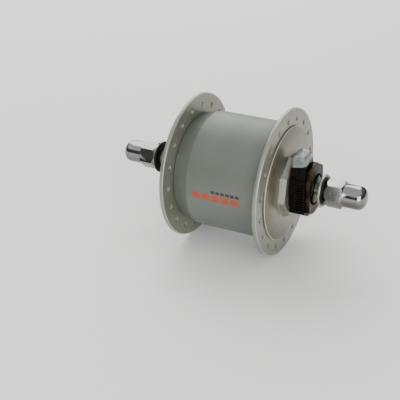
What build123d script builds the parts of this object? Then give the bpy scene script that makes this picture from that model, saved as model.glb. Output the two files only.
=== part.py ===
from build123d import *
import os

# A bicycle generator hub: a fixed axle that carries a coil, and a shell of magnets that turns
# around it on two cup-and-cone bearings.  All lengths are in millimetres.
#
# The pieces are drawn in a bench frame: Z is the axle line with the connector at +Z, +Y is up,
# and Z = 0 is half way between the spoke flanges.  on_shell() and on_axle() turn a finished
# piece into the hub's own frame: axle along Y, connector at -Y, +Z up, +X forward.

# ---- driving dimensions -------------------------------------------------------------------

# Shell
FLANGE_R = 45.0            # outer radius of a spoke flange
FLANGE_IN = 28.4           # inner face of a flange, from the middle
FLANGE_OUT = 30.8          # outer face of a flange
HOLE_CIRCLE_R = {"right": 38.8, "left": 38.2}    # radius of each spoke hole circle
HOLE_R = 1.35              # spoke hole
HOLES = 18                 # spoke holes in each flange
HOLE_PHASE = {"right": 12.0, "left": 2.0}
BARREL_R = 35.5
SHOULDER_R = 32.8          # barrel at its far end, where it tapers down to the seam
SHOULDER_END = -18.0
SEAM = 0.5                 # open joint between barrel and left flange
SHELL_BORE_R = 31.5
SPIGOT_WALL = 2.0
SPIGOT = 2.5               # depth of a flange's spigot in the barrel
RIM_R = 34.9               # rim of an end cap on the flange
RIM_T = 0.8
RIM_CHAMFER = 0.3
BOSS_BASE = 33.5           # end cap's face beside the boss
BOSS_TOP = 37.2
OCTAGON_BASE = 18.6        # octagon boss, centre to flat
OCTAGON_TOP = 17.2
OCTAGON_PHASE = 15.0
ROUND_BOSS_R = 17.5

# Bearings
BALL_R = 2.38              # 3/16 inch ball
BALLS = 10
BALL_CIRCLE_R = 9.4
BEARING_Z = 33.25
RACE_GAP = 0.04            # ball to race
POCKET_GAP = 0.08          # ball to retainer
CUP_R = 13.2
CUP_BACK = 3.6
CUP_FRONT = 2.4
CUP_BORE_R = 8.6
CUP_MOUTH_R = 11.85
CONE_NOSE_R = 6.9
CONE_R = 9.0
CONE_FLATS_R = 7.5
CONE_BACK = 3.9            # end of the round part of the cone, from the balls
CONE_END = 38.0
SEAL_BORE_R = 9.1
SEAL_LOW = 35.7
SEAL_HIGH = 37.0

# Axle and the pieces clamped on it
AXLE_R = 4.5
AXLE_END = 70.0
AXLE_MID_R = 6.0           # thicker middle that carries the stator
AXLE_MID = 20.0
AXLE_COLLAR_R = 8.0
END_CHAMFER = 0.9
RELIEF_R = 4.2             # thread reliefs at both ends of a dropout seat
RELIEF_W = 0.6
THREAD_GAP = 0.05          # bore of a nut or washer that runs on the axle
SPACER_R = 7.0
SPACER_END = 45.5
LOCKNUT_LOW = 46.0
LOCKNUT_FACE = 50.0        # dropout seat: 100 mm between the two seats
WRENCH_R = 7.5             # 15 mm across flats
NUT_LOW = 56.0
NUT_HEX_TOP = 67.2
NUT_DOME_R = 7.0
NUT_TIP = 80.5
NUT_TIP_ROUND = 4.4
NUT_BORE_TOP = 74.0
NUT_PHASE = {"right": 11.0, "left": 15.0}
WASHER_LOW = 53.3
WASHER_MID = 55.0
WASHER_R = 10.0
NUT_WASHER_R = 8.8

# Stator
PLATE_LOW = 15.0
PLATE_HIGH = 16.6
POLES = 14                 # claws on each plate
CLAW_R = 26.0
CLAW_INNER_R = 24.4
CLAW_TIP = -13.5
CLAW_ROOT_W = 4.3
CLAW_TIP_W = 2.8
SLEEVE_R = 9.0
BOBBIN_HUB_R = 10.5
BOBBIN_R = 22.0
BOBBIN_FLANGE = 1.4
WINDING_R = 19.5
STATOR_NUT_TOP = 19.6
WIRE_R = 0.7
WIRE_HOLE_R = 1.1
WIRE_Y = 3.4               # height of the wire in the axle's groove
GROOVE_FLOOR = 2.5
WIRE_START_Z = 12.5
WIRE_END_Z = 43.5

# Magnets
YOKE_R = 29.5              # inner radius of the steel yoke
YOKE_HALF = 18.0
MAGNET_R = 26.5            # inner radius of the magnets
MAGNET_HALF = 17.0
MAGNETS = 4
MAGNET_GAP = 1.0

# Connector
CONNECTOR_TILT = 8.0       # the connector leans back from straight up
BODY_LOW = 38.0
BODY_HIGH = 47.2
BODY_R = 16.8
BODY_UPPER_R = 15.6
BODY_HALF_W = 12.5
TOWER_FRONT = -11.9        # the tower stands in front of the axle
TOWER_BACK = 1.0
TOWER_LOW = 38.7
TOWER_TOP = 19.2           # at its edge beside the hub
TOWER_SLOPE = 0.212        # rise of its top for each millimetre away from the hub
COVER_HIGH = 49.6
COVER_R = 15.2
COVER_HALF_W = 11.3
COVER_TAB_TOP = 17.2
COVER_BORE_R = 9.3
GROUND_R = 10.5
RIBS = 10
RIB_PITCH = 1.8
RIB_DEPTH = 0.6
RIB_LOW = 42.0
RIB_HIGH = 46.0
LIVE_X = -2.6
GROUND_X = -8.6
BLADE_T = 0.8
BLADE_LOW = 41.5
BLADE_TOP = 24.5
LIVE_FOOT = 12.0
GROUND_FOOT = 5.0
CAP_HIGH = 47.4
CAP_TOP = 26.2
CAP_WALL = 0.9
CAP_ROUND = 2.0
DUST_CAP_R = 14.5


# ---- helpers ------------------------------------------------------------------------------

def turned(*points):
    """Solid turned about the axle; each point is (radius, z)."""
    outline = Polyline(*[(radius, 0, z) for radius, z in points], close=True)
    return revolve(make_face(outline), Axis.Z)


def ring(outer, inner, low, high):
    return turned((inner, low), (outer, low), (outer, high), (inner, high))


def box(low, high):
    """Box between two opposite corners."""
    size = [b - a for a, b in zip(low, high)]
    middle = [(a + b) / 2 for a, b in zip(low, high)]
    return Pos(*middle) * Box(*size)


def mirrored(part):
    """The same piece for the other end of the axle."""
    return mirror(part, about=Plane.XY)


def polygon_prism(flat, sides, phase, low, high):
    """Prism about the axle; flat is the distance from the centre to a side."""
    outline = RegularPolygon(flat, sides, major_radius=False, rotation=phase)
    return Pos(0, 0, low) * extrude(outline, high - low)


def around(part, count, phase=0.0):
    """Copies of a piece, evenly spaced about the axle."""
    return [Rot(0, 0, phase + 360 * k / count) * part for k in range(count)]


def on_shell(part):
    return Rot(90, 0, 0) * part


def on_axle(part):
    return Rot(90, 0, 0) * Rot(0, 0, CONNECTOR_TILT) * part


def save(name, part):
    part.label = name
    export_step(part, f"parts/{name}.step")


# ---- shell, which turns with the wheel ----------------------------------------------------

def hub_shell():
    """Barrel between the flanges, tapered at its far end."""
    end = -FLANGE_IN + SEAM
    return turned(
        (SHELL_BORE_R, end),
        (SHOULDER_R, end),
        (BARREL_R, SHOULDER_END),
        (BARREL_R, FLANGE_IN),
        (SHELL_BORE_R, FLANGE_IN),
    )


def spoke_flange(side):
    """Flange with a spigot that is pressed into the barrel, drawn for the connector side."""
    inner = SHELL_BORE_R - SPIGOT_WALL
    body = turned(
        (inner, FLANGE_OUT),
        (FLANGE_R, FLANGE_OUT),
        (FLANGE_R, FLANGE_IN),
        (SHELL_BORE_R, FLANGE_IN),
        (SHELL_BORE_R, FLANGE_IN - SPIGOT),
        (inner, FLANGE_IN - SPIGOT),
    )
    hole = Pos(HOLE_CIRCLE_R[side], 0, FLANGE_IN) * Cylinder(HOLE_R, 10)
    return body - around(hole, HOLES, HOLE_PHASE[side])


def end_cap():
    """Turned cover: a spigot, a rim on the flange, a crowned face and a seat for the cup."""
    seat_r = CUP_R + 3.3
    spigot_r = SHELL_BORE_R - SPIGOT_WALL
    rim_top = FLANGE_OUT + RIM_T
    lower = Polyline(
        (CUP_R, 0, BOSS_BASE),
        (CUP_R, 0, FLANGE_IN),
        (seat_r, 0, FLANGE_IN),
        (seat_r, 0, FLANGE_OUT - 0.2),
        (spigot_r - SPIGOT_WALL, 0, FLANGE_OUT - 1.4),
        (spigot_r - SPIGOT_WALL, 0, FLANGE_IN - 1.6),
        (spigot_r, 0, FLANGE_IN - 1.6),
        (spigot_r, 0, FLANGE_OUT),
        (RIM_R, 0, FLANGE_OUT),
        (RIM_R, 0, rim_top),
        (RIM_R - RIM_CHAMFER, 0, rim_top + RIM_CHAMFER),
    )
    crown = ThreePointArc(
        (RIM_R - RIM_CHAMFER, 0, rim_top + RIM_CHAMFER),
        (27.0, 0, 33.0),
        (OCTAGON_BASE, 0, BOSS_BASE),
    )
    face = Line((OCTAGON_BASE, 0, BOSS_BASE), (CUP_R, 0, BOSS_BASE))
    return revolve(make_face(lower + crown + face), Axis.Z)


def right_end_cap():
    """Cover with an octagonal boss, by which it is screwed in."""
    low = Pos(0, 0, BOSS_BASE - 1) * RegularPolygon(
        OCTAGON_BASE, 8, major_radius=False, rotation=OCTAGON_PHASE
    )
    high = Pos(0, 0, BOSS_TOP) * RegularPolygon(
        OCTAGON_TOP, 8, major_radius=False, rotation=OCTAGON_PHASE
    )
    boss = loft([low, high]) - Pos(0, 0, BOSS_BASE) * Cylinder(CUP_R, 20)
    lip = turned(
        (CUP_R - 1, BOSS_TOP + 0.1),
        (CUP_R + 0.9, BOSS_TOP + 0.1),
        (CUP_R - 1, BOSS_TOP - 1.8),
    )
    return end_cap() + boss - lip


def left_end_cap():
    """Cover with a plain round boss."""
    boss = turned(
        (CUP_R, BOSS_BASE - 1),
        (ROUND_BOSS_R + 0.6, BOSS_BASE - 1),
        (ROUND_BOSS_R, BOSS_TOP - 0.5),
        (ROUND_BOSS_R - 0.5, BOSS_TOP),
        (CUP_R, BOSS_TOP),
    )
    return mirrored(end_cap() + boss)


def magnet_segments():
    """Curved magnets, set apart by narrow gaps."""
    slot = box((0, -MAGNET_GAP / 2, -MAGNET_HALF - 1), (40, MAGNET_GAP / 2, MAGNET_HALF + 1))
    return ring(YOKE_R, MAGNET_R, -MAGNET_HALF, MAGNET_HALF) - around(slot, MAGNETS, 45)


# ---- bearings, drawn for the connector side ------------------------------------------------

def race(gap):
    """The ring swept by the balls, wider by a gap."""
    return Pos(0, 0, BEARING_Z) * Torus(BALL_CIRCLE_R, BALL_R + gap)


def bearing_cup():
    low = BEARING_Z - CUP_BACK
    high = BEARING_Z + CUP_FRONT
    body = turned(
        (CUP_BORE_R, low),
        (CUP_R, low),
        (CUP_R, high),
        (CUP_MOUTH_R, high),
        (CUP_MOUTH_R, BEARING_Z),
        (CUP_BORE_R, BEARING_Z),
    )
    return body - race(RACE_GAP)


def bearing_cone():
    """Cone on the axle: a nose under the balls, a round body, and the part with wrench flats."""
    low = BEARING_Z - 3.0
    back = BEARING_Z + CONE_BACK
    body = turned(
        (AXLE_R, low),
        (CONE_NOSE_R, low),
        (CONE_NOSE_R, BEARING_Z),
        (CONE_R, BEARING_Z),
        (CONE_R, back),
        (CONE_FLATS_R, back),
        (CONE_FLATS_R, CONE_END),
        (AXLE_R, CONE_END),
    )
    return body - race(RACE_GAP)


def balls():
    ball = Pos(BALL_CIRCLE_R, 0, BEARING_Z) * Sphere(BALL_R)
    return Compound(children=around(ball, BALLS))


def ball_retainer():
    pocket = Pos(BALL_CIRCLE_R, 0, BEARING_Z) * Sphere(BALL_R + POCKET_GAP)
    return ring(11.5, 8.7, BEARING_Z + 0.5, BEARING_Z + 2.0) - around(pocket, BALLS)


def seal():
    """Rubber ring in the boss; its thin lip runs on the cone."""
    return turned(
        (CUP_R, SEAL_LOW),
        (CUP_R, SEAL_HIGH),
        (10.4, SEAL_HIGH),
        (SEAL_BORE_R, SEAL_HIGH - 0.3),
        (SEAL_BORE_R, SEAL_HIGH - 0.8),
        (10.4, SEAL_LOW),
    )


# ---- axle and stator, which stand still in the fork ----------------------------------------

def axle():
    shaft = turned(
        (0, -AXLE_END),
        (AXLE_R - END_CHAMFER, -AXLE_END),
        (AXLE_R, -AXLE_END + END_CHAMFER),
        (AXLE_R, -AXLE_MID),
        (AXLE_MID_R, -AXLE_MID),
        (AXLE_MID_R, -PLATE_HIGH - 2),
        (AXLE_COLLAR_R, -PLATE_HIGH - 2),
        (AXLE_COLLAR_R, -PLATE_HIGH),
        (AXLE_MID_R, -PLATE_HIGH),
        (AXLE_MID_R, AXLE_MID),
        (AXLE_R, AXLE_MID),
        (AXLE_R, AXLE_END - END_CHAMFER),
        (AXLE_R - END_CHAMFER, AXLE_END),
        (0, AXLE_END),
    )
    groove = box((-WIRE_HOLE_R, GROOVE_FLOOR, WIRE_START_Z - 1.5), (WIRE_HOLE_R, 10, WIRE_END_Z + 1.5))
    under_locknut = ring(AXLE_R + 1, RELIEF_R, LOCKNUT_FACE - RELIEF_W, LOCKNUT_FACE)
    under_washer = ring(AXLE_R + 1, RELIEF_R, WASHER_LOW, WASHER_LOW + RELIEF_W)
    shaft -= [under_locknut, under_washer, mirrored(under_locknut), mirrored(under_washer)]
    return shaft - groove


def wire_hole(z, low, high):
    """Radial hole that lets the lead wire through."""
    return Pos(0, (low + high) / 2, z) * Rot(90, 0, 0) * Cylinder(WIRE_HOLE_R, high - low)


def stator_sleeve():
    """Iron core under the coil."""
    body = ring(SLEEVE_R, AXLE_MID_R, -PLATE_LOW, PLATE_LOW)
    return body - wire_hole(WIRE_START_Z, AXLE_MID_R - 1, SLEEVE_R + 1)


def claw_plate(phase):
    """Iron disc with claws bent over the coil, drawn for the connector side."""
    outline = Polyline(
        (0, -CLAW_ROOT_W / 2, PLATE_HIGH),
        (0, CLAW_ROOT_W / 2, PLATE_HIGH),
        (0, CLAW_TIP_W / 2, CLAW_TIP),
        (0, -CLAW_TIP_W / 2, CLAW_TIP),
        close=True,
    )
    wedge = extrude(make_face(outline), 40, dir=(1, 0, 0))
    claw = wedge & ring(CLAW_R, CLAW_INNER_R, CLAW_TIP, PLATE_HIGH)
    disc = ring(CLAW_INNER_R + 0.6, AXLE_MID_R, PLATE_LOW, PLATE_HIGH)
    return disc + around(claw, POLES, phase)


def coil_bobbin():
    inner_face = PLATE_LOW - BOBBIN_FLANGE
    body = turned(
        (SLEEVE_R, -PLATE_LOW),
        (BOBBIN_R, -PLATE_LOW),
        (BOBBIN_R, -inner_face),
        (BOBBIN_HUB_R, -inner_face),
        (BOBBIN_HUB_R, inner_face),
        (BOBBIN_R, inner_face),
        (BOBBIN_R, PLATE_LOW),
        (SLEEVE_R, PLATE_LOW),
    )
    return body - wire_hole(WIRE_START_Z, SLEEVE_R - 1, BOBBIN_HUB_R + 0.01)


def coil_winding():
    half = PLATE_LOW - BOBBIN_FLANGE
    return ring(WINDING_R, BOBBIN_HUB_R, -half, half)


def stator_nut():
    body = polygon_prism(AXLE_COLLAR_R, 6, 0, PLATE_HIGH, STATOR_NUT_TOP)
    return body - Pos(0, 0, PLATE_HIGH) * Cylinder(AXLE_MID_R, 20)


def lead_wire():
    """From the winding, along the axle's groove, to the live terminal."""
    path = FilletPolyline(
        (0, BOBBIN_HUB_R, WIRE_START_Z),
        (0, WIRE_Y, WIRE_START_Z),
        (0, WIRE_Y, WIRE_END_Z),
        (0, LIVE_FOOT, WIRE_END_Z),
        radius=0.9,
    )
    return sweep(Plane(origin=path @ 0, z_dir=path % 0) * Circle(WIRE_R), path=path)


# ---- connector ----------------------------------------------------------------------------

def disc_with_flats(radius, half_width):
    return Circle(radius) & Rectangle(2 * half_width, 2 * radius)


def shoulder(left, top, right, low):
    """Outline that stands up from the axle and slopes down towards the back."""
    return make_face(Polyline((left, 0), (left, top), (TOWER_BACK, top), (right, low), (right, 0), close=True))


def tower_top(z):
    return TOWER_TOP + TOWER_SLOPE * (z - TOWER_LOW)


def under_tower_top(front, back, low, high):
    """Block from the axle up to the tower's sloping top."""
    side = Polyline(
        (front, 0, low),
        (front, tower_top(low), low),
        (front, tower_top(high), high),
        (front, 0, high),
        close=True,
    )
    return extrude(make_face(side), back - front, dir=(1, 0, 0))


def blade(x, foot):
    """Flat terminal blade that stands up out of the tower."""
    return box((x - BLADE_T / 2, foot, BLADE_LOW), (x + BLADE_T / 2, BLADE_TOP, SPACER_END))


def live_terminal():
    foot = box((LIVE_X, LIVE_FOOT, BLADE_LOW), (BLADE_T, LIVE_FOOT + BLADE_T, SPACER_END))
    return blade(LIVE_X, LIVE_FOOT) + foot


def ground_terminal():
    return blade(GROUND_X, GROUND_FOOT)


def connector_body():
    """Moulded body: a collar with ribbed flats and a tower that holds the terminals."""
    lower_half = Pos(0, -BODY_R / 2) * Rectangle(2 * BODY_HALF_W, BODY_R)
    front_flat = Pos(-BODY_HALF_W / 2, 5.7) * Rectangle(BODY_HALF_W, 11.4)
    outline = disc_with_flats(BODY_UPPER_R, BODY_HALF_W) + (Circle(BODY_R) & lower_half) + front_flat
    body = Pos(0, 0, BODY_LOW) * extrude(outline, BODY_HIGH - BODY_LOW)
    body += under_tower_top(TOWER_FRONT, TOWER_BACK, TOWER_LOW, BODY_HIGH)
    slope = shoulder(0, 17.6, 9.0, 12.6)
    body += Pos(0, 0, TOWER_LOW) * extrude(slope, BODY_HIGH - TOWER_LOW)
    body -= Pos(0, 0, BODY_LOW) * Cylinder(SPACER_R, 40)
    body -= ring(GROUND_R, 1, SPACER_END, BODY_HIGH + 1)
    groove_w = RIB_PITCH / 2
    for side in (-1, 1):
        for k in range(RIBS):
            y = (k - (RIBS - 1) / 2) * RIB_PITCH
            body -= Pos(side * BODY_HALF_W, y, (RIB_LOW + RIB_HIGH) / 2) * Box(
                2 * RIB_DEPTH, groove_w, RIB_HIGH - RIB_LOW
            )
    body -= wire_hole(WIRE_END_Z, SPACER_R - 1, LIVE_FOOT)
    return body - live_terminal() - ground_terminal()


def connector_cover():
    """Stepped outer plate of the connector, around the locknut."""
    outline = disc_with_flats(COVER_R, COVER_HALF_W) + shoulder(-7.8, COVER_TAB_TOP, 9.0, 12.2)
    plate = Pos(0, 0, BODY_HIGH) * extrude(outline, COVER_HIGH - BODY_HIGH)
    outer_edges = plate.edges().group_by(Axis.Z)[-1]
    plate = chamfer(outer_edges, 0.9)
    return plate - Pos(0, 0, BODY_HIGH) * Cylinder(COVER_BORE_R, 20)


def terminal_cap():
    """Clear cap, open below, that pulls off the terminals."""
    outer = box((TOWER_FRONT, 15, TOWER_LOW), (TOWER_BACK, CAP_TOP, CAP_HIGH))
    outer = fillet(outer.edges().filter_by(Axis.Y), CAP_ROUND)
    outer = fillet(outer.faces().sort_by(Axis.Y)[-1].edges(), CAP_ROUND - 0.4)
    inner = box(
        (TOWER_FRONT + CAP_WALL, 14, TOWER_LOW + CAP_WALL),
        (TOWER_BACK - CAP_WALL, CAP_TOP - CAP_WALL, CAP_HIGH - CAP_WALL),
    )
    inner = fillet(inner.edges().filter_by(Axis.Y), CAP_ROUND - CAP_WALL)
    return outer - inner - under_tower_top(-20, 20, BODY_LOW - 2, CAP_HIGH + 2)


def right_spacer():
    return ring(SPACER_R, AXLE_R, CONE_END, SPACER_END) - wire_hole(WIRE_END_Z, AXLE_R - 1, SPACER_R + 1)


def left_spacer():
    return mirrored(ring(SPACER_R, AXLE_R, CONE_END, LOCKNUT_LOW))


def left_dust_cap():
    """Plastic cup on the far-side spacer that shields the seal."""
    return mirrored(
        turned(
            (SPACER_R, 40.4),
            (DUST_CAP_R - 1, 40.4),
            (DUST_CAP_R - 1, BOSS_TOP + 0.8),
            (DUST_CAP_R, BOSS_TOP + 0.8),
            (DUST_CAP_R, 41.0),
            (DUST_CAP_R - 1.2, 42.2),
            (SPACER_R, 42.2),
        )
    )


def locknut():
    body = polygon_prism(WRENCH_R, 6, 0, LOCKNUT_LOW, LOCKNUT_FACE)
    corners = turned(
        (0, LOCKNUT_LOW),
        (9, LOCKNUT_LOW),
        (9, LOCKNUT_FACE - 0.7),
        (7.7, LOCKNUT_FACE),
        (0, LOCKNUT_FACE),
    )
    return (body & corners) - Pos(0, 0, LOCKNUT_LOW) * Cylinder(AXLE_R, 20)


# ---- nuts and washers, which come off with the wheel ---------------------------------------

def cap_nut(phase):
    """Closed nut: a hexagon with rounded-off corners, then a cylinder with a rounded tip."""
    hexagon = polygon_prism(WRENCH_R, 6, phase, NUT_LOW, NUT_HEX_TOP)
    corners = turned(
        (0, NUT_LOW),
        (7.0, NUT_LOW),
        (8.9, NUT_LOW + 2.9),
        (8.9, NUT_HEX_TOP - 1.3),
        (7.2, NUT_HEX_TOP),
        (0, NUT_HEX_TOP),
    )
    dome = ring(NUT_DOME_R, 0, NUT_HEX_TOP - 1, NUT_TIP)
    dome = fillet(dome.edges().sort_by(Axis.Z)[-1], NUT_TIP_ROUND)
    bore_middle = (NUT_LOW + NUT_BORE_TOP) / 2
    bore = Pos(0, 0, bore_middle) * Cylinder(AXLE_R + THREAD_GAP, NUT_BORE_TOP - NUT_LOW)
    return (hexagon & corners) + dome - bore


def washer(outer, low, high):
    return ring(outer, AXLE_R + THREAD_GAP, low, high)


# ---- write every piece --------------------------------------------------------------------

os.makedirs("parts", exist_ok=True)

SHELL_PIECES = {
    "hub_shell": hub_shell(),
    "right_flange": spoke_flange("right"),
    "left_flange": mirrored(spoke_flange("left")),
    "right_end_cap": right_end_cap(),
    "left_end_cap": left_end_cap(),
    "magnet_yoke": ring(SHELL_BORE_R, YOKE_R, -YOKE_HALF, YOKE_HALF),
    "magnet_segments": magnet_segments(),
    "right_cup": bearing_cup(),
    "left_cup": mirrored(bearing_cup()),
    "right_seal": seal(),
    "left_seal": mirrored(seal()),
    "right_balls": balls(),
    "left_balls": mirrored(balls()),
    "right_ball_retainer": ball_retainer(),
    "left_ball_retainer": mirrored(ball_retainer()),
    "right_cap_nut": cap_nut(NUT_PHASE["right"]),
    "left_cap_nut": mirrored(cap_nut(NUT_PHASE["left"])),
    "right_axle_washer": washer(WASHER_R, WASHER_LOW, WASHER_MID),
    "right_nut_washer": washer(NUT_WASHER_R, WASHER_MID, NUT_LOW),
    "left_axle_washer": mirrored(washer(WASHER_R, WASHER_LOW, WASHER_MID)),
    "left_nut_washer": mirrored(washer(NUT_WASHER_R, WASHER_MID, NUT_LOW)),
}

AXLE_PIECES = {
    "axle": axle(),
    "right_cone": bearing_cone(),
    "left_cone": mirrored(bearing_cone()),
    "right_spacer": right_spacer(),
    "left_spacer": left_spacer(),
    "right_locknut": locknut(),
    "left_locknut": mirrored(locknut()),
    "left_dust_cap": left_dust_cap(),
    "stator_sleeve": stator_sleeve(),
    "right_claw_plate": claw_plate(0),
    "left_claw_plate": mirrored(claw_plate(180 / POLES)),
    "coil_bobbin": coil_bobbin(),
    "coil_winding": coil_winding(),
    "stator_nut": stator_nut(),
    "lead_wire": lead_wire(),
    "connector_body": connector_body(),
    "connector_cover": connector_cover(),
    "ground_washer": ring(GROUND_R, AXLE_R, SPACER_END, LOCKNUT_LOW),
    "live_terminal": live_terminal(),
    "ground_terminal": ground_terminal(),
    "terminal_cap": terminal_cap(),
}

for name, part in SHELL_PIECES.items():
    save(name, on_shell(part))
for name, part in AXLE_PIECES.items():
    save(name, on_axle(part))
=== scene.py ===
from math import asin, atan2, cos, dist, hypot, pi, radians, sin, sqrt, tan

import bmesh
import bpy
from mathutils import Matrix, Vector


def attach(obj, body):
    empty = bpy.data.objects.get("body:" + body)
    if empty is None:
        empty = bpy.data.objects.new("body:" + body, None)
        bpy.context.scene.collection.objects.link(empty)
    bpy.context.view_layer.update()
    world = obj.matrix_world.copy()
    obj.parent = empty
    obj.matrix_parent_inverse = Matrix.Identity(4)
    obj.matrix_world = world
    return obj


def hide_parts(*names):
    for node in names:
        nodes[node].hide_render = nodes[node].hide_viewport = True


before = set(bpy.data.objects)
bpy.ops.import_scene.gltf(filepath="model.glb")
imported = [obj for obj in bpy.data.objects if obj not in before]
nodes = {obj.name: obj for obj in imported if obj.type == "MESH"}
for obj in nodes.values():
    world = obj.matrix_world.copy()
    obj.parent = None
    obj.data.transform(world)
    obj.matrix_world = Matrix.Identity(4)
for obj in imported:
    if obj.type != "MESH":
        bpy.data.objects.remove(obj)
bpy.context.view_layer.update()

# A bicycle generator hub.  Shapes are worked out in millimetres on a bench frame: x is forward,
# y is up and s runs along the axle towards the connector.  at_shell() and at_axle() give the
# same point in the row frame, in metres.

MM = 0.001
TILT = radians(8.0)        # the connector and the axle's pieces lean back
SEGMENTS = 180             # steps round a turned piece

# Sizes that several pieces share
FLANGE_R = 45.0
FLANGE_IN = 28.4           # inner and outer face of a flange, along the axle
FLANGE_OUT = 30.8
HOLE_CIRCLE = {"right": 38.8, "left": 38.2}
HOLE_PHASE = {"right": 12.0, "left": 2.0}
HOLE_R = 1.35
BARREL_R = 35.5
CUP_R = 13.2               # bore of an end cap
RIM_R = 34.9               # outer edge of an end cap
BOSS_TOP = 37.2
AXLE_R = 4.5
BORE_R = 4.55              # bore of the nuts and washers
HEX_FLAT = 7.5             # 15 mm across flats
HEX_CLEAR_R = 8.95         # just outside the hexagon's corners


def at_shell(x, y, s):
    """Row-frame place of a point of the turning hub."""
    return Vector((x, -s, y)) * MM


def at_axle(x, y, s):
    """Row-frame place of a point of the axle's pieces, which lean back."""
    return at_shell(x * cos(TILT) - y * sin(TILT), x * sin(TILT) + y * cos(TILT), s)


# ---- shapes: (points, faces) on the bench frame ---------------------------------------------

def skin(rows, ends="joined"):
    """Surface through loops of points.  ends is 'joined', last loop to first, or 'capped'."""
    count = len(rows[0])
    points = [p for row in rows for p in row]
    faces = []
    last = len(rows) if ends == "joined" else len(rows) - 1
    for i in range(last):
        a = i * count
        b = (i + 1) % len(rows) * count
        for j in range(count):
            k = (j + 1) % count
            faces.append((a + j, a + k, b + k, b + j))
    if ends == "capped":
        for row, start in ((rows[0], 0), (rows[-1], (len(rows) - 1) * count)):
            middle = [sum(p[axis] for p in row) / count for axis in range(3)]
            points.append(tuple(middle))
            for j in range(count):
                faces.append((start + j, start + (j + 1) % count, len(points) - 1))
    return points, faces


def filleted(corners, steps=4):
    """Closed outline through corners (a, b, radius), with each corner rounded to its radius."""
    points = []
    for k, (a, b, radius) in enumerate(corners):
        here = Vector((a, b))
        back = Vector(corners[k - 1][:2]) - here
        ahead = Vector(corners[(k + 1) % len(corners)][:2]) - here
        if radius == 0:
            points.append(here)
            continue
        reach = min(radius / tan(back.angle(ahead) / 2), 0.48 * back.length, 0.48 * ahead.length)
        start = here + back.normalized() * reach
        end = here + ahead.normalized() * reach
        for i in range(steps + 1):
            t = i / steps
            points.append((1 - t) ** 2 * start + 2 * t * (1 - t) * here + t * t * end)
    return [(p.x, p.y) for p in points]


def circle(radius, s, segments=SEGMENTS, wave=None):
    """Loop about the axle; wave(angle) is added to its place along the axle."""
    loop = []
    for k in range(segments):
        angle = 2 * pi * k / segments
        lift = wave(angle) if wave else 0.0
        loop.append((radius * cos(angle), radius * sin(angle), s + lift))
    return loop


def turned(corners, segments=SEGMENTS, steps=4):
    """Ring turned about the axle; corners are (radius, s, fillet)."""
    return skin([circle(r, s, segments) for r, s in filleted(corners, steps)])


def turned_solid(profile, segments=SEGMENTS):
    """Solid turned about the axle; profile is (radius, s) from end to end."""
    return skin([circle(r, s, segments) for r, s in profile], "capped")


def prism(outline, low, high):
    """Straight solid on an outline of (x, y) points."""
    count = len(outline)
    points = [(x, y, s) for s in (low, high) for x, y in outline]
    faces = [tuple(range(count)), tuple(range(count, 2 * count))]
    faces += [(k, (k + 1) % count, count + (k + 1) % count, count + k) for k in range(count)]
    return points, faces


def hexagon(phase, flat=HEX_FLAT):
    """Outline with a corner at the phase, in degrees."""
    reach = flat / cos(pi / 6)
    angles = [radians(phase + 60 * k) for k in range(6)]
    return [(reach * cos(a), reach * sin(a)) for a in angles]


def box(low, high):
    """Block between two opposite corners."""
    corners = ((low[0], low[1]), (high[0], low[1]), (high[0], high[1]), (low[0], high[1]))
    return prism(corners, low[2], high[2])


def joined(shapes):
    """Several shapes as one."""
    points = []
    faces = []
    for more_points, more_faces in shapes:
        start = len(points)
        points += more_points
        faces += [tuple(start + i for i in face) for face in more_faces]
    return points, faces


def shifted(shape, x=0.0, y=0.0, angle=0.0):
    """The shape moved across the axle, then turned about it by an angle in degrees."""
    c = cos(radians(angle))
    d = sin(radians(angle))
    moved = [(px + x, py + y, s) for px, py, s in shape[0]]
    return [(px * c - py * d, px * d + py * c, s) for px, py, s in moved], shape[1]


def mirrored(shape):
    """The same shape for the far end of the axle."""
    return [(x, y, -s) for x, y, s in shape[0]], shape[1]


# ---- pieces -----------------------------------------------------------------------------------

def mesh_piece(name, shape, place=at_shell):
    """Object of a shape, with its faces turned outwards."""
    mesh = bpy.data.meshes.new(name)
    mesh.from_pydata([place(*p) for p in shape[0]], [], shape[1])
    work = bmesh.new()
    work.from_mesh(mesh)
    bmesh.ops.recalc_face_normals(work, faces=work.faces)
    work.to_mesh(mesh)
    work.free()
    piece = bpy.data.objects.new(name, mesh)
    bpy.context.scene.collection.objects.link(piece)
    return piece


def bake(piece):
    """Replaces the mesh of a piece with what its modifiers make of it."""
    view = bpy.context.evaluated_depsgraph_get()
    mesh = bpy.data.meshes.new_from_object(piece.evaluated_get(view))
    piece.modifiers.clear()
    piece.data = mesh


def carve(piece, shape, how="DIFFERENCE", place=at_shell):
    """Cuts the shape out of a piece, or keeps or adds it."""
    tool = mesh_piece("tool", shape, place)
    step = piece.modifiers.new("carve", "BOOLEAN")
    step.operation = how
    step.solver = "EXACT"
    step.object = tool
    bake(piece)
    bpy.data.objects.remove(tool)


def soften(piece, width, angle=28.0, segments=2):
    """Rounds the sharp edges of a piece."""
    step = piece.modifiers.new("soften", "BEVEL")
    step.width = width * MM
    step.segments = segments
    step.limit_method = "ANGLE"
    step.angle_limit = radians(angle)
    step.miter_outer = "MITER_ARC"
    bake(piece)


def settle(piece, look, body, slot, *stands_for, sharp=32.0):
    """Finish, shading and place in the mechanism of a finished piece."""
    piece.data.materials.clear()
    piece.data.materials.append(look)
    piece.data.shade_smooth()
    piece.data.set_sharp_from_angle(angle=radians(sharp))
    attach(piece, body)
    if stands_for:
        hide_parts(*stands_for)
    return piece


# ---- materials --------------------------------------------------------------------------------

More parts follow.
